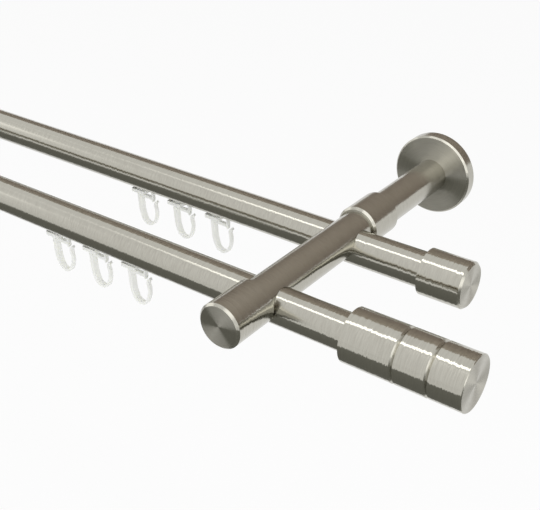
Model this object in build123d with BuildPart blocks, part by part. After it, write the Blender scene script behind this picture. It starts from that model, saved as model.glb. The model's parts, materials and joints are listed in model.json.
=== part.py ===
from build123d import *
from math import asin, degrees
import os

# Curtain rod with two inner-track runs. Two wall brackets carry it: each has a wall
# flange, a stem, a collar, a notched arm and an end sleeve in line on one axis. Both
# rods sit in the notches under the arms, and plastic gliders with hooks run in them.
# Millimetres. X runs along the rods, +Y into the wall and +Z up. The origin is on the
# wall, midway between the brackets and level with their arms.

# Overall layout
bracket_spacing = 500
wall_to_rear_rod = 106
rod_spacing = 73
finial_offset = 51

# Rod: extruded tube with a web across it and a slotted track below the web
rod_diameter = 20
rod_wall = 1.5
web_thickness = 1.5
track_width = 11.5
track_height = 5.5
lip_depth = 3.0
slot_width = 6.0
lip_round = 0.5

# Wall flange and stem
flange_diameter = 50.5
flange_thickness = 7.6
flange_chamfer = 1.0
flange_rim = 4.0
flange_recess = 2.5
flange_boss_wall = 5.0
stem_diameter = 20
spigot_shoulder = 3.0
wall_thread_bore = 6.8
wall_thread_depth = 30

# Collar, arm and end sleeve
collar_wall = 2.5
collar_length = 24
collar_gap = 0.8
collar_web = 2.5
collar_chamfer = 1.2
stem_insertion = 12
arm_diameter = 20.5
arm_bridge = 4.85
tenon_shoulder = 2.25
tenon_length = 14
sleeve_step = 2.0
sleeve_length = 27.5
sleeve_gap = 1.0
sleeve_chamfer = 1.2

# Finial on the front rod, end cap on the rear rod
socket_depth = 18
finial_wall = 4.25
finial_length = 63.5
finial_edge = 0.4
groove_places = (28.0, 45.7)
groove_width = 2.0
groove_depth = 1.0
cap_wall = 3.0
cap_length = 25
cap_chamfer = 1.2

# Fasteners: threads are plain cylinders of the nominal size
stud_diameter = 8
stud_grip = 8
grub_diameter = 4
grub_dimple = 0.7
grub_key = 2.0
grub_key_depth = 1.6
screw_diameter = 4
screw_head_diameter = 7.2
screw_cover = 1.05
screw_key = 2.5
screw_key_depth = 1.3

# Glider: lengths run along the rod from the glider's own reference point
glider_to_bracket = 90
glider_pitch = 30.8
gliders_per_end = 3
head_start = -6.5
head_end = 7.0
head_height = 2.6
head_round = 1.5
neck_start = -6.0
neck_end = -0.5
foot_start = -10.0
foot_end = 0.5
foot_width = 7.0
foot_height = 2.3
foot_gap = 1.2
foot_round = 0.6
tooth_place = 5.8
tooth_thickness = 1.4
tooth_width = 2.4
tooth_drop = 7.0
tooth_point = 1.7
bridge_gap = 1.1
bridge_height = 1.9
hook_width = 3.0
hook_thickness = 1.5
hook_drop = 23.6
hook_root = -5.3

# Bends of the hook: place along the rod and height above the hook's lowest point
hook_knee = (-4.6, 11.0)
hook_bend = (-2.4, 2.6)
hook_turn = (5.7, 1.9)
hook_side = (8.25, 8.3)
hook_waist = (7.75, 13.8)
hook_tip = (9.4, 17.8)

# Clearances
saddle_clearance = 0.1
socket_clearance = 0.1
thread_clearance = 0.05
tip_gap = 0.05
end_gap = 0.2
glide_gap = 0.3
head_play = 0.55
neck_play = 0.8

# Places worked out from the sizes above
rod_radius = rod_diameter / 2
flange_radius = flange_diameter / 2
stem_radius = stem_diameter / 2
spigot_radius = stem_radius - spigot_shoulder
collar_radius = stem_radius + collar_wall
arm_radius = arm_diameter / 2
tenon_radius = arm_radius - tenon_shoulder
sleeve_radius = arm_radius + sleeve_step
finial_radius = rod_radius + finial_wall
cap_radius = rod_radius + cap_wall
notch_radius = rod_radius + saddle_clearance
notch_top = arm_radius - arm_bridge
rod_drop = notch_radius - notch_top
wall_to_front_rod = wall_to_rear_rod + rod_spacing
rod_places = {"front": -wall_to_front_rod, "rear": -wall_to_rear_rod}
bracket_places = {"right": bracket_spacing / 2, "left": -bracket_spacing / 2}
outward = {"right": 1, "left": -1}
track_floor = lip_depth - rod_radius
web_under = track_floor + track_height
web_top = web_under + web_thickness
end_back = bracket_spacing / 2 + finial_offset
rod_reach = end_back + socket_depth - end_gap
collar_front = wall_to_rear_rod - rod_radius - collar_gap
collar_back = collar_front - collar_length
stem_end = collar_back + stem_insertion
sleeve_back = wall_to_front_rod + rod_radius + sleeve_gap
sleeve_front = sleeve_back + sleeve_length
socket_radius = rod_radius + socket_clearance
screw_grip = arm_bridge - screw_cover - end_gap
grub_hole_radius = grub_diameter / 2 + thread_clearance
stud_hole_radius = stud_diameter / 2 + thread_clearance
stud_hole_depth = stud_grip + end_gap
collar_grub_place = (collar_back + stem_end) / 2
collar_grub_tip = stem_radius - grub_dimple
sleeve_grub_place = sleeve_back + tenon_length / 2
end_grub_place = end_back + socket_depth / 2

os.makedirs("parts", exist_ok=True)


def upright_plane(x, rod_y):
    """Upright plane at a rod's axis: local x along the rod, local y up, facing the room."""
    return Plane(origin=(x, rod_y, -rod_drop), x_dir=(1, 0, 0), z_dir=(0, -1, 0))


def save(piece, name):
    """Label a finished piece and write it to a file of the same name."""
    piece.label = name
    export_step(piece, f"parts/{name}.step")


# Rods: one extrusion each, drilled and countersunk from the track for the arm screws
for run, rod_y in rod_places.items():
    hollow_radius = rod_radius - rod_wall
    hollow_start = degrees(asin(web_top / hollow_radius))
    with BuildPart() as rod:
        with BuildSketch(Plane.YZ.offset(-rod_reach)) as section:
            with Locations((rod_y, -rod_drop)):
                Circle(rod_radius)
            with BuildLine():
                vault = CenterArc((rod_y, -rod_drop), hollow_radius, hollow_start, 180 - 2 * hollow_start)
                Line(vault @ 1, vault @ 0)
            make_face(mode=Mode.SUBTRACT)
            with Locations((rod_y, track_floor - rod_drop)):
                Rectangle(track_width, track_height, align=(Align.CENTER, Align.MIN), mode=Mode.SUBTRACT)
                Rectangle(slot_width, rod_radius, align=(Align.CENTER, Align.MAX), mode=Mode.SUBTRACT)
            fillet(section.vertices().group_by(Axis.Y)[0], lip_round)
        extrude(amount=2 * rod_reach)
        for bracket_x in bracket_places.values():
            with Locations(Plane(origin=(bracket_x, rod_y, web_under - rod_drop), z_dir=(0, 0, -1))):
                CounterSinkHole(
                    screw_diameter / 2 + socket_clearance,
                    screw_head_diameter / 2 + socket_clearance,
                    depth=rod_diameter,
                    counter_sink_angle=90,
                )
    save(rod.part, f"{run}_rod")

# Brackets: pieces turned about the bracket's axis, drawn as radius and depth from the wall
for side, bracket_x in bracket_places.items():
    half_section = Plane(origin=(bracket_x, 0, 0), x_dir=(1, 0, 0), z_dir=(0, 0, 1))
    bracket_axis = Axis((bracket_x, 0, 0), (0, 1, 0))

    # Wall flange: disc with a bright chamfer, relieved behind, clamped by the stem's shoulder
    flange_bore_radius = spigot_radius + socket_clearance
    flange_boss_radius = spigot_radius + flange_boss_wall
    with BuildPart() as wall_flange:
        with BuildSketch(half_section):
            with BuildLine():
                Polyline(
                    (flange_bore_radius, 0),
                    (flange_boss_radius, 0),
                    (flange_boss_radius, -flange_recess),
                    (flange_radius - flange_rim, -flange_recess),
                    (flange_radius - flange_rim, 0),
                    (flange_radius, 0),
                    (flange_radius, flange_chamfer - flange_thickness),
                    (flange_radius - flange_chamfer, -flange_thickness),
                    (flange_bore_radius, -flange_thickness),
                    close=True,
                )
            make_face()
        revolve(axis=bracket_axis)
    save(wall_flange.part, f"{side}_wall_flange")

    # Stem: bar with a spigot through the flange, tapped at both ends, dimpled for the grub screw
    with BuildPart() as stem:
        with BuildSketch(half_section):
            with BuildLine():
                Polyline(
                    (wall_thread_bore / 2, 0),
                    (spigot_radius, 0),
                    (spigot_radius, -flange_thickness),
                    (stem_radius, -flange_thickness),
                    (stem_radius, -stem_end),
                    (stud_hole_radius, -stem_end),
                    (stud_hole_radius, stud_hole_depth - stem_end),
                    (0, stud_hole_depth - stem_end),
                    (0, -wall_thread_depth),
                    (wall_thread_bore / 2, -wall_thread_depth),
                    close=True,
                )
            make_face()
        revolve(axis=bracket_axis)
        with Locations(Plane(origin=(bracket_x, -collar_grub_place, -stem_radius), z_dir=(0, 0, -1))):
            Hole(grub_hole_radius, depth=grub_dimple + tip_gap)
    save(stem.part, f"{side}_stem")

    # Collar: sleeve that takes the stem from behind and the arm's tenon from the front
    with BuildPart() as collar:
        with BuildSketch(half_section):
            with BuildLine():
                Polyline(
                    (stem_radius + socket_clearance, -collar_back),
                    (collar_radius, -collar_back),
                    (collar_radius, collar_chamfer - collar_front),
                    (collar_radius - collar_chamfer, -collar_front),
                    (tenon_radius + socket_clearance, -collar_front),
                    (tenon_radius + socket_clearance, -stem_end - collar_web),
                    (stud_hole_radius, -stem_end - collar_web),
                    (stud_hole_radius, -stem_end),
                    (stem_radius + socket_clearance, -stem_end),
                    close=True,
                )
            make_face()
        revolve(axis=bracket_axis)
        with Locations(Plane(origin=(bracket_x, -collar_grub_place, -collar_radius), z_dir=(0, 0, -1))):
            Hole(grub_hole_radius, depth=collar_radius)
    save(collar.part, f"{side}_collar")

    # Arm: bar with a tenon at each end, milled from below to seat both rods
    tenon_end = stem_end + collar_web
    with BuildPart() as arm:
        with BuildSketch(half_section):
            with BuildLine():
                Polyline(
                    (stud_hole_radius, -tenon_end),
                    (tenon_radius, -tenon_end),
                    (tenon_radius, -collar_front),
                    (arm_radius, -collar_front),
                    (arm_radius, -sleeve_back),
                    (tenon_radius, -sleeve_back),
                    (tenon_radius, -sleeve_back - tenon_length),
                    (0, -sleeve_back - tenon_length),
                    (0, -tenon_end - stud_hole_depth),
                    (stud_hole_radius, -tenon_end - stud_hole_depth),
                    close=True,
                )
            make_face()
        revolve(axis=bracket_axis)
        with BuildSketch(Plane.YZ.offset(bracket_x)):
            with Locations(*((rod_y, -rod_drop) for rod_y in rod_places.values())):
                Circle(notch_radius)
                Rectangle(2 * notch_radius, arm_diameter, align=(Align.CENTER, Align.MAX))
        extrude(amount=arm_diameter, both=True, mode=Mode.SUBTRACT)
        for rod_y in rod_places.values():
            with Locations(Plane(origin=(bracket_x, rod_y, notch_top), z_dir=(0, 0, -1))):
                Hole(screw_diameter / 2 + thread_clearance, depth=screw_grip + end_gap)
    save(arm.part, f"{side}_arm")

    # End sleeve: turned cap over the arm's front tenon, with a bright chamfer at its face
    with BuildPart() as end_sleeve:
        with BuildSketch(half_section):
            with BuildLine():
                Polyline(
                    (tenon_radius + socket_clearance, -sleeve_back),
                    (sleeve_radius, -sleeve_back),
                    (sleeve_radius, sleeve_chamfer - sleeve_front),
                    (sleeve_radius - sleeve_chamfer, -sleeve_front),
                    (0, -sleeve_front),
                    (0, -sleeve_back - tenon_length - end_gap),
                    (tenon_radius + socket_clearance, -sleeve_back - tenon_length - end_gap),
                    close=True,
                )
            make_face()
        revolve(axis=bracket_axis)
        with Locations(Plane(origin=(bracket_x, -sleeve_grub_place, -sleeve_radius), z_dir=(0, 0, -1))):
            Hole(grub_hole_radius, depth=sleeve_radius - tenon_radius)
    save(end_sleeve.part, f"{side}_end_sleeve")

# Finials: turned over the front rod's ends, with two V grooves and a keen edge
for side, way in outward.items():
    with BuildPart() as finial:
        with BuildSketch(upright_plane(0, rod_places["front"])):
            with BuildLine():
                outline = [(end_back, socket_radius), (end_back, finial_radius)]
                for place in groove_places:
                    outline += [
                        (end_back + place - groove_width / 2, finial_radius),
                        (end_back + place, finial_radius - groove_depth),
                        (end_back + place + groove_width / 2, finial_radius),
                    ]
                outline += [
                    (end_back + finial_length - finial_edge, finial_radius),
                    (end_back + finial_length, finial_radius - finial_edge),
                    (end_back + finial_length, 0),
                    (end_back + socket_depth, 0),
                    (end_back + socket_depth, socket_radius),
                ]
                Polyline(*((way * x, r) for x, r in outline), close=True)
            make_face()
        revolve(axis=Axis((0, rod_places["front"], -rod_drop), (1, 0, 0)))
        with Locations(Plane(
            origin=(way * end_grub_place, rod_places["front"] + finial_radius, -rod_drop),
            z_dir=(0, 1, 0),
        )):
            Hole(grub_hole_radius, depth=finial_wall)
    save(finial.part, f"{side}_finial")

# End caps: turned over the rear rod's ends, plain with a bright chamfer
for side, way in outward.items():
    with BuildPart() as end_cap:
        with BuildSketch(upright_plane(0, rod_places["rear"])):
            with BuildLine():
                outline = [
                    (end_back, socket_radius),
                    (end_back, cap_radius),
                    (end_back + cap_length - cap_chamfer, cap_radius),
                    (end_back + cap_length, cap_radius - cap_chamfer),
                    (end_back + cap_length, 0),
                    (end_back + socket_depth, 0),
                    (end_back + socket_depth, socket_radius),
                ]
                Polyline(*((way * x, r) for x, r in outline), close=True)
            make_face()
        revolve(axis=Axis((0, rod_places["rear"], -rod_drop), (1, 0, 0)))
        with Locations(Plane(
            origin=(way * end_grub_place, rod_places["rear"] + cap_radius, -rod_drop),
            z_dir=(0, 1, 0),
        )):
            Hole(grub_hole_radius, depth=cap_wall)
    save(end_cap.part, f"{side}_end_cap")

# Joining studs: threaded through the collar's web into stem and arm
with BuildPart() as joining_studs:
    with BuildSketch(Plane.XZ.offset(stem_end - stud_grip)):
        with Locations(*((bracket_x, 0) for bracket_x in bracket_places.values())):
            Circle(stud_diameter / 2)
    extrude(amount=2 * stud_grip + collar_web)
save(joining_studs.part, "joining_studs")

# Grub screws under the collars and sleeves, each with a hexagon socket at its outer end
for name, place, tip, outer_radius in (
    ("collar_grub_screws", collar_grub_place, collar_grub_tip, collar_radius - end_gap),
    ("sleeve_grub_screws", sleeve_grub_place, tenon_radius + tip_gap, sleeve_radius - end_gap),
):
    with BuildPart() as grub_screws:
        with BuildSketch(Plane.XY.offset(-outer_radius)):
            with Locations(*((bracket_x, -place) for bracket_x in bracket_places.values())):
                Circle(grub_diameter / 2)
        extrude(amount=outer_radius - tip)
        with BuildSketch(Plane.XY.offset(-outer_radius)):
            with Locations(*((bracket_x, -place) for bracket_x in bracket_places.values())):
                RegularPolygon(grub_key / 2, side_count=6, major_radius=False)
        extrude(amount=grub_key_depth, mode=Mode.SUBTRACT)
    save(grub_screws.part, name)

# Grub screws on the wall side of the finials and end caps
for name, run, outer_radius in (
    ("finial_grub_screws", "front", finial_radius - end_gap),
    ("cap_grub_screws", "rear", cap_radius - end_gap),
):
    outer_end = Plane.XZ.offset(-rod_places[run] - outer_radius)
    with BuildPart() as grub_screws:
        with BuildSketch(outer_end):
            with Locations((end_grub_place, -rod_drop), (-end_grub_place, -rod_drop)):
                Circle(grub_diameter / 2)
        extrude(amount=outer_radius - rod_radius - tip_gap)
        with BuildSketch(outer_end):
            with Locations((end_grub_place, -rod_drop), (-end_grub_place, -rod_drop)):
                RegularPolygon(grub_key / 2, side_count=6, major_radius=False)
        extrude(amount=grub_key_depth, mode=Mode.SUBTRACT)
    save(grub_screws.part, name)

# Arm screws: countersunk in the rods' webs, driven up from the tracks into the arms
screw_places = [(x, y) for x in bracket_places.values() for y in rod_places.values()]
screw_head_height = (screw_head_diameter - screw_diameter) / 2
with BuildPart() as arm_screws:
    with Locations(*((x, y, web_under - rod_drop) for x, y in screw_places)):
        Cone(
            screw_head_diameter / 2,
            screw_diameter / 2,
            screw_head_height,
            align=(Align.CENTER, Align.CENTER, Align.MIN),
        )
        Cylinder(
            screw_diameter / 2,
            notch_top + screw_grip - web_under + rod_drop,
            align=(Align.CENTER, Align.CENTER, Align.MIN),
        )
    with BuildSketch(Plane.XY.offset(web_under - rod_drop)):
        with Locations(*screw_places):
            RegularPolygon(screw_key / 2, side_count=6, major_radius=False)
    extrude(amount=screw_key_depth, mode=Mode.SUBTRACT)
save(arm_screws.part, "arm_screws")

# Gliders: one moulding each, drawn from the side along the rod
head_under = track_floor + glide_gap
head_width = track_width - 2 * head_play
neck_width = slot_width - 2 * neck_play
foot_top = -rod_radius - foot_gap
foot_under = foot_top - foot_height
bridge_top = foot_under - bridge_gap
tooth_end = foot_top - tooth_drop
hook_floor = foot_top - hook_drop
hook_bends = (hook_knee, hook_bend, hook_turn, hook_side, hook_waist, hook_tip)
hook_places = [(along, hook_floor + height) for along, height in hook_bends]
first_glider = bracket_spacing / 2 - glider_to_bracket
right_places = [first_glider - glider_pitch * step for step in range(gliders_per_end)]
glider_places = right_places + [-place for place in reversed(right_places)]
for run, rod_y in rod_places.items():
    for number, glider_x in enumerate(glider_places, 1):
        side_view = upright_plane(glider_x, rod_y)
        with BuildPart() as glider:
            # Head and neck, running in the track and its slot
            with BuildSketch(side_view):
                with Locations((head_start, head_under)):
                    Rectangle(head_end - head_start, head_height, align=(Align.MIN, Align.MIN))
            extrude(amount=head_width / 2, both=True)
            fillet(glider.edges().filter_by(Axis.Z), head_round)
            with BuildSketch(side_view):
                with Locations((neck_start, foot_top)):
                    Rectangle(neck_end - neck_start, head_under - foot_top, align=(Align.MIN, Align.MIN))
            extrude(amount=neck_width / 2, both=True)
            # Foot under the slot
            with BuildSketch(side_view):
                with Locations((foot_start, foot_under)):
                    Rectangle(foot_end - foot_start, foot_height, align=(Align.MIN, Align.MIN))
            extrude(amount=foot_width / 2, both=True)
            fillet(glider.edges(Select.LAST).filter_by(Axis.Z), foot_round)
            # Tooth that closes the hook's mouth, and the bridge that braces it
            with BuildSketch(side_view):
                with BuildLine():
                    Polyline(
                        (tooth_place - tooth_thickness / 2, head_under),
                        (tooth_place - tooth_thickness / 2, tooth_end + tooth_point),
                        (tooth_place, tooth_end),
                        (tooth_place + tooth_thickness / 2, tooth_end + tooth_point),
                        (tooth_place + tooth_thickness / 2, head_under),
                        close=True,
                    )
                make_face()
                with Locations((hook_root, bridge_top)):
                    Rectangle(tooth_place - hook_root, bridge_height, align=(Align.MIN, Align.MAX))
            extrude(amount=tooth_width / 2, both=True)
            # Hook: a strip bent down, round and up to a tip that flares outwards
            with BuildSketch(side_view):
                with BuildLine():
                    stretch = Line((hook_root, foot_under + foot_height / 2), hook_places[0])
                    for place in hook_places[1:]:
                        stretch = TangentArc(stretch @ 1, place, tangent=stretch % 1)
                trace(line_width=hook_thickness)
            extrude(amount=hook_width / 2, both=True)
        save(glider.part, f"{run}_glider_{number}")
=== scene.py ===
import json
from math import pi, radians

import bmesh
import bpy
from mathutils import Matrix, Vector


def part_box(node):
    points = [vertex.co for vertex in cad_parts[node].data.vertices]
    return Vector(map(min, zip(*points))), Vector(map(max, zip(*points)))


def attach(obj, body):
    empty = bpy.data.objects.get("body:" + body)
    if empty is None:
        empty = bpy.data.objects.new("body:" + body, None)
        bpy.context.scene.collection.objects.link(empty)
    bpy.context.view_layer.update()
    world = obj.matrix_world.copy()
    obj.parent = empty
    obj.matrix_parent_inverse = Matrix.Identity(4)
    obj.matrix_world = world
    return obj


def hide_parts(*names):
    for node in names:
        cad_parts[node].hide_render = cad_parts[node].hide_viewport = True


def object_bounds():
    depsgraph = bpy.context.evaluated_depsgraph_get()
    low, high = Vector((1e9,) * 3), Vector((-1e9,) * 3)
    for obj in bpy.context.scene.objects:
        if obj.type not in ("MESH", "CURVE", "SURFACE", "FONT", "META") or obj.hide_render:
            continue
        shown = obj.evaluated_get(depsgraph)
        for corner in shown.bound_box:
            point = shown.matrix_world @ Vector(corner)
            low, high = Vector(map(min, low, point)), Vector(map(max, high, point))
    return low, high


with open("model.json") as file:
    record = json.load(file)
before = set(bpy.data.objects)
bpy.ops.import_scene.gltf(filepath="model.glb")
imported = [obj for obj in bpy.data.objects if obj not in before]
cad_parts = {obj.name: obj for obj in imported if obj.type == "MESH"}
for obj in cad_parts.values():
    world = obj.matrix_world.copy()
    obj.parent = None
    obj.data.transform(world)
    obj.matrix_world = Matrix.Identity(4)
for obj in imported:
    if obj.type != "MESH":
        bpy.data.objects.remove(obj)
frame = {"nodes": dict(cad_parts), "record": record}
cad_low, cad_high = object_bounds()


# Wall flanges. Each is a disc turned from stainless steel bar, faced on the lathe and chamfered
# round its front edge. The shoulder of the stem clamps it flat against the wall.
bracket_sides = ("right", "left")


def linear(hex_colour):
    """Turn an sRGB hex colour into linear red, green, blue and alpha."""
    parts = [int(hex_colour[i:i + 2], 16) / 255 for i in (1, 3, 5)]
    return [p / 12.92 if p <= 0.04045 else ((p + 0.055) / 1.055) ** 2.4 for p in parts] + [1.0]


def add(tree, kind, inputs=(), **settings):
    """Add a node with its settings; each input is a plain value or the socket that feeds it."""
    made = tree.nodes.new(kind)
    for key, value in settings.items():
        setattr(made, key, value)
    for key, value in dict(inputs).items():
        if isinstance(value, bpy.types.NodeSocket):
            tree.links.new(value, made.inputs[key])
        else:
            made.inputs[key].default_value = value
    return made


def empty_material(name):
    """Make a material whose node tree has nothing in it yet."""
    material = bpy.data.materials.new(name)
    material.use_nodes = True
    material.node_tree.nodes.clear()
    return material


def middle(node):
    """Middle of a node's box, which for a turned piece lies on its axis."""
    low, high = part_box(node)
    return (low + high) / 2


def dress(node, material):
    """Give a carried-over node one material all over."""
    slots = frame["nodes"][node].data.materials
    slots.clear()
    slots.append(material)


# Satin stainless steel, turned. The tool leaves fine rings round the axis, so a reflection stays
# crisp round the piece, smears along it, and frays at its edges from ring to ring. The faced ends
# are coarser, and there the rings spread the light in fans. Real rings lie about 0.1 mm apart,
# too fine to show, so they are drawn at 0.6 mm.
def turned_steel(name, axis, centre):
    """Turned stainless steel whose rings run round an axis, 0 for X or 1 for Y, through a centre."""
    # Each ring is alike over about half a radian, and its facing sways by a few degrees.
    ring_spacing = 0.6e-3
    ring_height = 0.002e-3
    ring_arc = 0.5
    ring_sway = radians(4.5)
    ring_roughness = (0.08, 0.18)
    # A surface counts as faced where it looks along the axis, from the first cosine to the second.
    faced_limits = (0.6, 0.95)
    faced_roughness = 0.32
    along = [0.0, 0.0, 0.0]
    along[axis] = 1.0
    material = empty_material(name)
    tree = material.node_tree

    place = add(tree, "ShaderNodeTexCoord").outputs["Object"]
    place = add(tree, "ShaderNodeMapping", {"Vector": place, "Location": -centre}).outputs["Vector"]
    axes = add(tree, "ShaderNodeSeparateXYZ", {"Vector": place})
    across = [axes.outputs[i] for i in range(3) if i != axis]
    spoke = add(tree, "ShaderNodeCombineXYZ", {"X": across[0], "Y": across[1]})
    radius = add(tree, "ShaderNodeVectorMath", {0: spoke.outputs[0]}, operation="LENGTH")
    turn = add(tree, "ShaderNodeMath", {0: across[0], 1: across[1]}, operation="ARCTAN2").outputs[0]
    arc = add(tree, "ShaderNodeMath", {0: turn, 1: ring_spacing / ring_arc}, operation="MULTIPLY")
    lay = add(tree, "ShaderNodeCombineXYZ", {
        "X": axes.outputs[axis], "Y": radius.outputs["Value"], "Z": arc.outputs[0],
    })
    rings = add(tree, "ShaderNodeTexNoise", {
        "Vector": lay.outputs[0], "Scale": 1 / ring_spacing, "Detail": 2.0,
    })

    facing = add(tree, "ShaderNodeNewGeometry").outputs["Normal"]
    end_face = add(tree, "ShaderNodeVectorMath", {0: facing, 1: along}, operation="DOT_PRODUCT")
    end_face = add(tree, "ShaderNodeMath", {0: end_face.outputs["Value"]}, operation="ABSOLUTE")
    end_face = add(tree, "ShaderNodeMapRange", {
        "Value": end_face.outputs[0], "From Min": faced_limits[0], "From Max": faced_limits[1],
    })
    around = add(tree, "ShaderNodeVectorMath", {0: along, 1: place}, operation="CROSS_PRODUCT")
    around = add(tree, "ShaderNodeVectorMath", {0: around.outputs[0]}, operation="NORMALIZE")
    sway = add(tree, "ShaderNodeMapRange", {
        "Value": rings.outputs["Fac"], "To Min": -ring_sway, "To Max": ring_sway,
    })
    sway = add(tree, "ShaderNodeMix", {
        "Factor": end_face.outputs["Result"], "A": sway.outputs["Result"], "B": 0.0,
    })
    sway = add(tree, "ShaderNodeVectorMath", {
        0: around.outputs[0], "Scale": sway.outputs["Result"],
    }, operation="SCALE")
    swayed = add(tree, "ShaderNodeVectorMath", {0: facing, 1: sway.outputs[0]}, operation="ADD")
    swayed = add(tree, "ShaderNodeVectorMath", {0: swayed.outputs[0]}, operation="NORMALIZE")
    bump = add(tree, "ShaderNodeBump", {
        "Strength": 1.0,
        "Distance": ring_height,
        "Height": rings.outputs["Fac"],
        "Normal": swayed.outputs[0],
    })

    tint = add(tree, "ShaderNodeMix", {
        "Factor": rings.outputs["Fac"], "A": linear("#A9A69C"), "B": linear("#C0BEB4"),
    }, data_type="RGBA")
    roughness = add(tree, "ShaderNodeMapRange", {
        "Value": rings.outputs["Fac"], "To Min": ring_roughness[0], "To Max": ring_roughness[1],
    })
    roughness = add(tree, "ShaderNodeMix", {
        "Factor": end_face.outputs["Result"], "A": roughness.outputs["Result"], "B": faced_roughness,
    })
    surface = add(tree, "ShaderNodeBsdfPrincipled", {
        "Base Color": tint.outputs["Result"],
        "Metallic": 1.0,
        "Roughness": roughness.outputs["Result"],
        "Anisotropic": 1.0,
        "Anisotropic Rotation": 0.25,
        "Normal": bump.outputs["Normal"],
        "Tangent": around.outputs[0],
    })
    add(tree, "ShaderNodeOutputMaterial", {"Surface": surface.outputs["BSDF"]})
    return material


bracket_steel = {}
for side in bracket_sides:
    bracket_axis = middle(f"{side}_wall_flange")
    bracket_steel[side] = turned_steel(f"turned_stainless_{side}_bracket", 1, bracket_axis)
    dress(f"{side}_wall_flange", bracket_steel[side])

# Stems. Each is a stainless bar turned down to a spigot that passes through the flange.
# Its wall end is drilled and tapped for the stud that stands out of the wall.
for side in bracket_sides:
    dress(f"{side}_stem", bracket_steel[side])

thread_start = Vector((0, 1.0e-3, 0))
thread_pitch = 1.25e-3
thread_depth = 25e-3
thread_crest = 0.15e-3
thread_half_width = 0.40e-3
thread_facets = 24
thread_corners = 4

tapping = bpy.data.node_groups.new("tapped_bores", "GeometryNodeTree")
tapping_inputs = {}
for label, kind, value in (
    ("Bore Radius", "NodeSocketFloat", frame["record"]["mounts"][0]["dims"]["hole_r_mm"] / 1000),
    ("Pitch", "NodeSocketFloat", thread_pitch),
    ("Depth", "NodeSocketFloat", thread_depth),
    ("Crest Height", "NodeSocketFloat", thread_crest),
    ("Half Width", "NodeSocketFloat", thread_half_width),
    ("First Bore", "NodeSocketVector", middle("left_wall_flange") * Vector((1, 0, 1)) - thread_start),
    ("Bore Spacing", "NodeSocketVector", middle("right_wall_flange") - middle("left_wall_flange")),
    ("Steel", "NodeSocketMaterial", bracket_steel["right"]),
):
    socket = tapping.interface.new_socket(label, in_out="INPUT", socket_type=kind)
    tapping_inputs[socket.identifier] = value
tapping.interface.new_socket("Geometry", in_out="OUTPUT", socket_type="NodeSocketGeometry")

sizes = add(tapping, "NodeGroupInput").outputs
turns = add(tapping, "ShaderNodeMath", {0: sizes["Depth"], 1: sizes["Pitch"]}, operation="DIVIDE")
lead_radius = add(tapping, "ShaderNodeMath", {
    0: sizes["Bore Radius"], 1: sizes["Half Width"],
}, operation="ADD")
lead_radius = add(tapping, "ShaderNodeMath", {
    0: lead_radius.outputs[0], 1: sizes["Crest Height"],
}, operation="SUBTRACT").outputs[0]
lead = add(tapping, "GeometryNodeCurveSpiral", {
    "Resolution": thread_facets, "Rotations": turns.outputs[0], "Start Radius": lead_radius,
    "End Radius": lead_radius, "Height": sizes["Depth"],
})
upright = add(tapping, "GeometryNodeSetCurveNormal", {"Curve": lead.outputs["Curve"]}, mode="Z_UP")
flanks = add(tapping, "GeometryNodeCurvePrimitiveCircle", {
    "Resolution": thread_corners, "Radius": sizes["Half Width"],
})
ridge = add(tapping, "GeometryNodeCurveToMesh", {
    "Curve": upright.outputs["Curve"], "Profile Curve": flanks.outputs["Curve"], "Fill Caps": True,
})
bores = add(tapping, "GeometryNodeMeshLine", {
    "Count": len(bracket_sides), "Start Location": sizes["First Bore"], "Offset": sizes["Bore Spacing"],
})
placed = add(tapping, "GeometryNodeInstanceOnPoints", {
    "Points": bores.outputs["Mesh"], "Instance": ridge.outputs["Mesh"], "Rotation": (pi / 2, 0.0, 0.0),
})
whole = add(tapping, "GeometryNodeRealizeInstances", {"Geometry": placed.outputs["Instances"]})
finished = add(tapping, "GeometryNodeSetMaterial", {
    "Geometry": whole.outputs["Geometry"], "Material": sizes["Steel"],
})
add(tapping, "NodeGroupOutput", {"Geometry": finished.outputs["Geometry"]})

threads = bpy.data.objects.new("wall_threads", bpy.data.meshes.new("wall_threads"))
bpy.context.scene.collection.objects.link(threads)
cutter = threads.modifiers.new("tapped_bores", "NODES")
cutter.node_group = tapping
for identifier, value in tapping_inputs.items():
    cutter[identifier] = value
evaluated = threads.evaluated_get(bpy.context.evaluated_depsgraph_get())
tapped = bpy.data.meshes.new_from_object(evaluated)
threads.modifiers.clear()
threads.data = tapped
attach(threads, "rod_and_brackets")

# Collars, arms and end sleeves. All are turned from the same bar as the flanges and pushed
# together on one axis. The arms are also milled from below to seat the rods.
for side in bracket_sides:
    for piece in ("collar", "arm", "end_sleeve"):
        dress(f"{side}_{piece}", bracket_steel[side])

# Rods. Each is a stainless tube with a slotted track below, ground and satin finished round
# the outside. It sits in the arms' notches and is held by screws from the track.
rod_runs = ("front", "rear")
run_steel = {}
for run in rod_runs:
    run_steel[run] = turned_steel(f"satin_stainless_{run}_run", 0, middle(f"{run}_rod"))
    dress(f"{run}_rod", run_steel[run])

# Finials and end caps. They are turned from solid stainless bar, slipped over the rod ends
# and held by grub screws from the wall side.
for side in bracket_sides:
    dress(f"{side}_finial", run_steel["front"])
    dress(f"{side}_end_cap", run_steel["rear"])

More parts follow.
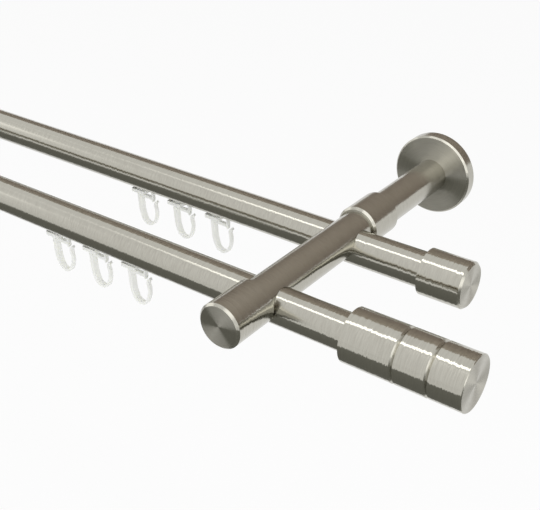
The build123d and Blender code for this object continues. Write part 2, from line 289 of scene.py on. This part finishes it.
# Studs and screws. All are cold-formed steel, zinc plated and clear passivated: a bluish, slightly
# cloudy plate with a fine speckle of crystals. Real crystals are near 0.05 mm, drawn at 0.25 mm.
plate_cloud = 2.0e-3
plate_speckle = 0.25e-3
plate_height = 0.004e-3
plate_roughness = (0.26, 0.42)
zinc = empty_material("zinc_plated_steel")
tree = zinc.node_tree
place = add(tree, "ShaderNodeTexCoord").outputs["Object"]
cloud = add(tree, "ShaderNodeTexNoise", {"Vector": place, "Scale": 1 / plate_cloud, "Detail": 3.0})
speckle = add(tree, "ShaderNodeTexVoronoi", {"Vector": place, "Scale": 1 / plate_speckle})
tint = add(tree, "ShaderNodeMix", {
    "Factor": cloud.outputs["Fac"], "A": linear("#AEB3BA"), "B": linear("#C9CCCF"),
}, data_type="RGBA")
roughness = add(tree, "ShaderNodeMapRange", {
    "Value": speckle.outputs["Distance"], "To Min": plate_roughness[0], "To Max": plate_roughness[1],
})
bump = add(tree, "ShaderNodeBump", {"Distance": plate_height, "Height": speckle.outputs["Distance"]})
surface = add(tree, "ShaderNodeBsdfPrincipled", {
    "Base Color": tint.outputs["Result"],
    "Metallic": 1.0,
    "Roughness": roughness.outputs["Result"],
    "Normal": bump.outputs["Normal"],
})
add(tree, "ShaderNodeOutputMaterial", {"Surface": surface.outputs["BSDF"]})
for node in frame["nodes"]:
    if node.endswith("_screws") or node.endswith("_studs"):
        dress(node, zinc)

# Gliders. Each is one moulding in white acetal that hangs in a rod's track by its head, with a
# tooth and an open hook below the slot. The mould leaves every edge slightly rounded.
edge_round = 0.07e-3
edge_steps = 2
weld_distance = 1e-6
flat_angle = radians(1)
crease_angle = radians(40)

# The hook tapers from a stout spine under the foot to the slim limb that springs open.
# Places run along the rod from the foot's tail, and the knee is above the hook's lowest point.
hook_width = 3.0e-3
bridge_width = 2.4e-3
spine_place = 4.7e-3
limb_place = 18.2e-3
hook_span = limb_place - spine_place
knee_height = 11.7e-3
spine_width = 4.2e-3
limb_width = 2.3e-3
spine_swell = 0.3e-3

# Acetal is a dense white plastic that lets a little light in: thin edges turn pale grey-green, and
# the spark-eroded mould leaves a faint grain. The real grain is near 0.05 mm, drawn at 0.3 mm.
mould_grain = 0.3e-3
grain_height = 0.01e-3
grain_roughness = (0.28, 0.40)
flow_marks = 4.0e-3
acetal = empty_material("white_acetal")
tree = acetal.node_tree
place = add(tree, "ShaderNodeTexCoord").outputs["Object"]
grain = add(tree, "ShaderNodeTexNoise", {"Vector": place, "Scale": 1 / mould_grain, "Detail": 2.0})
flow = add(tree, "ShaderNodeTexNoise", {"Vector": place, "Scale": 1 / flow_marks, "Detail": 1.0})
tint = add(tree, "ShaderNodeMix", {
    "Factor": flow.outputs["Fac"], "A": linear("#F0F2EC"), "B": linear("#F8F8F5"),
}, data_type="RGBA")
roughness = add(tree, "ShaderNodeMapRange", {
    "Value": grain.outputs["Fac"], "To Min": grain_roughness[0], "To Max": grain_roughness[1],
})
bump = add(tree, "ShaderNodeBump", {"Distance": grain_height, "Height": grain.outputs["Fac"]})
surface = add(tree, "ShaderNodeBsdfPrincipled", {
    "Base Color": tint.outputs["Result"],
    "Roughness": roughness.outputs["Result"],
    "IOR": 1.48,
    "Subsurface Weight": 0.25,
    "Subsurface Radius": (1.0, 1.0, 0.9),
    "Subsurface Scale": 0.8e-3,
    "Normal": bump.outputs["Normal"],
})
add(tree, "ShaderNodeOutputMaterial", {"Surface": surface.outputs["BSDF"]})

for node in [name for name in frame["nodes"] if "_glider_" in name]:
    shape = bmesh.new()
    shape.from_mesh(frame["nodes"][node].data)
    bmesh.ops.remove_doubles(shape, verts=shape.verts, dist=weld_distance)
    bmesh.ops.dissolve_limit(shape, angle_limit=flat_angle, verts=shape.verts, edges=shape.edges)
    shape.normal_update()
    foot_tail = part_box(node)[0][0]
    hook_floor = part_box(node)[0][2]
    run_line = middle(node).y
    for corner in shape.verts:
        aside = corner.co.y - run_line
        along = corner.co.x - foot_tail
        on_hook = abs(abs(aside) - hook_width / 2) < weld_distance
        on_bridge = abs(abs(aside) - bridge_width / 2) < weld_distance
        near_spine = along < (spine_place + limb_place) / 2
        if not (on_hook or on_bridge and near_spine):
            continue
        outward = Vector((corner.normal.x, 0, corner.normal.z))
        if corner.co.z > hook_floor + knee_height:
            outward.z = 0
        swell_left = max(0, 1 - 2 * (along - spine_place) / hook_span)
        corner.co += outward.normalized() * spine_swell * swell_left
        if on_hook:
            reach = (corner.co.x - foot_tail - spine_place) / hook_span
            width = spine_width + (limb_width - spine_width) * reach
            corner.co.y = run_line + (width / 2 if aside > 0 else -width / 2)
    for face in shape.faces:
        face.smooth = True
    moulding = bpy.data.meshes.new(f"{node}_moulding")
    shape.to_mesh(moulding)
    shape.free()
    moulding.materials.clear()
    moulding.materials.append(acetal)
    glider = bpy.data.objects.new(f"{node}_moulding", moulding)
    bpy.context.scene.collection.objects.link(glider)
    rounding = glider.modifiers.new("rounded_edges", "BEVEL")
    rounding.width = edge_round
    rounding.segments = edge_steps
    rounding.limit_method = "ANGLE"
    rounding.angle_limit = crease_angle
    glider.modifiers.new("flat_faces", "WEIGHTED_NORMAL")
    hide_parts(node)
    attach(glider, node)

# Studio. A pale matt floor and a white backdrop lie all round, and the steel mirrors them too. Out of
# the picture, a grey cloth on the floor in front and a warm paper behind give the steel its dark bands.
floor_drop = 0.45
floor_size = 40.0
floor_white = 0.85
floor_level = cad_low.z - floor_drop


def seen_or_mirrored(tree):
    """1 for rays that come from the camera, off metal or through glass, and 0 for plain light."""
    ray = add(tree, "ShaderNodeLightPath").outputs
    seen = add(tree, "ShaderNodeMath", {
        0: ray["Is Camera Ray"], 1: ray["Is Glossy Ray"],
    }, operation="MAXIMUM")
    seen = add(tree, "ShaderNodeMath", {
        0: seen.outputs[0], 1: ray["Is Transmission Ray"],
    }, operation="MAXIMUM")
    return seen.outputs[0]


bpy.ops.mesh.primitive_plane_add(size=floor_size, location=(0, 0, floor_level))
floor = bpy.context.object
floor.name = "studio_floor"
paint = empty_material("matt_white_floor")
tree = paint.node_tree
matt = add(tree, "ShaderNodeBsdfDiffuse", {"Color": linear("#F4F4F4")})
white = add(tree, "ShaderNodeEmission", {"Color": linear("#FFFFFF"), "Strength": 1.0})
share = add(tree, "ShaderNodeMath", {0: seen_or_mirrored(tree), 1: floor_white}, operation="MULTIPLY")
both = add(tree, "ShaderNodeMixShader", {0: share.outputs[0], 1: matt.outputs[0], 2: white.outputs[0]})
clear = add(tree, "ShaderNodeBsdfTransparent")
below = add(tree, "ShaderNodeNewGeometry").outputs["Backfacing"]
both = add(tree, "ShaderNodeMixShader", {0: below, 1: both.outputs[0], 2: clear.outputs[0]})
add(tree, "ShaderNodeOutputMaterial", {"Surface": both.outputs[0]})
floor.data.materials.append(paint)

soft_strength = 0.75
world = bpy.data.worlds.new("studio_light")
bpy.context.scene.world = world
world.use_nodes = True
tree = world.node_tree
tree.nodes.clear()
soft_light = add(tree, "ShaderNodeBackground", {"Color": linear("#FFFFFF"), "Strength": soft_strength})
backdrop = add(tree, "ShaderNodeBackground", {"Color": linear("#FFFFFF"), "Strength": 1.0})
both = add(tree, "ShaderNodeMixShader", {
    0: seen_or_mirrored(tree), 1: soft_light.outputs[0], 2: backdrop.outputs[0],
})
add(tree, "ShaderNodeOutputWorld", {"Surface": both.outputs[0]})

# Cloth and paper. Both are plain and matt, toned evenly from one edge to the other, and larger than
# the rod. The cloth is slightly darker towards the back. The paper grades from a darker warm foot to a
# pale top, which is painted light standing in for light falling on it from above. The photograph's
# view doesn't reach them, and they are kept out of the other views too.
panel_width = 8.0
cloth_lift = 2.0e-3
cloth_front = -1.30
cloth_back = -0.08
paper_distance = 1.6
paper_foot = 0.2
paper_top = 3.3
for name, panel_place, tilt, depth, first_tone, last_tone in (
    (
        "floor_cloth", (0, (cloth_front + cloth_back) / 2, floor_level + cloth_lift), 0,
        cloth_back - cloth_front, "#85857F", "#75756F",
    ),
    (
        "back_paper", (0, paper_distance, (paper_foot + paper_top) / 2), pi / 2,
        # Painted light: the back paper pales from its foot to its top as if lit from above.
        paper_top - paper_foot, "#94897F", "#DAD0C4",
    ),
):
    bpy.ops.mesh.primitive_plane_add(size=1, location=panel_place, rotation=(tilt, 0, 0))
    panel = bpy.context.object
    panel.name = name
    panel.scale = (panel_width, depth, 1)
    panel.visible_camera = False
    panel.visible_diffuse = False
    panel.visible_shadow = False
    matt_cover = empty_material(name)
    tree = matt_cover.node_tree
    spread = add(tree, "ShaderNodeTexCoord").outputs["Generated"]
    spread = add(tree, "ShaderNodeSeparateXYZ", {"Vector": spread}).outputs["Y"]
    # On the back paper this tone is painted light, paler at the top as if lit from above.
    tone = add(tree, "ShaderNodeMix", {
        "Factor": spread, "A": linear(first_tone), "B": linear(last_tone),
    }, data_type="RGBA")
    matt = add(tree, "ShaderNodeBsdfDiffuse", {"Color": tone.outputs["Result"]})
    add(tree, "ShaderNodeOutputMaterial", {"Surface": matt.outputs["BSDF"]})
    panel.data.materials.append(matt_cover)

# Softboxes. One long strip hangs overhead, a square one stands behind and above the camera and draws
# the shadows, and one at each side lights the ends. All are plain white.
lamp_target = Vector((0.1, -0.1, 0.0))
for name, lamp_place, width, depth, power in (
    ("overhead_softbox", Vector((0.0, -0.52, 1.5)), 1.7, 0.26, 2.8),
    ("key_softbox", Vector((0.9, -1.2, 1.4)), 1.8, 1.8, 10.0),
    ("right_softbox", Vector((2.2, -0.9, 0.6)), 1.3, 1.3, 5.0),
    ("left_softbox", Vector((-2.2, -0.9, 0.6)), 1.3, 1.3, 4.3),
):
    bpy.ops.object.light_add(type="AREA", location=lamp_place)
    softbox = bpy.context.object
    softbox.name = name
    softbox.data.shape = "RECTANGLE"
    softbox.data.size = width
    softbox.data.size_y = depth
    softbox.data.energy = power
    if name != "overhead_softbox":
        softbox.rotation_euler = (lamp_target - lamp_place).to_track_quat("-Z", "Y").to_euler()

# Camera. It stands where the photograph was taken from, to the right, above and in front, and looks
# down at the right-hand bracket.
camera_place = Vector((0.48957, -0.49932, 0.25204))
camera_target = Vector((0.20051, -0.11000, -0.02748))
lens = bpy.data.cameras.new("photo_camera")
lens.lens = 63.04
lens.sensor_width = 36.0
lens.clip_start = 0.01
camera = bpy.data.objects.new("photo_camera", lens)
bpy.context.scene.collection.objects.link(camera)
camera.location = camera_place
camera.rotation_euler = (camera_target - camera_place).to_track_quat("-Z", "Y").to_euler()
bpy.context.scene.camera = camera
bpy.context.scene.view_settings.view_transform = "Standard"
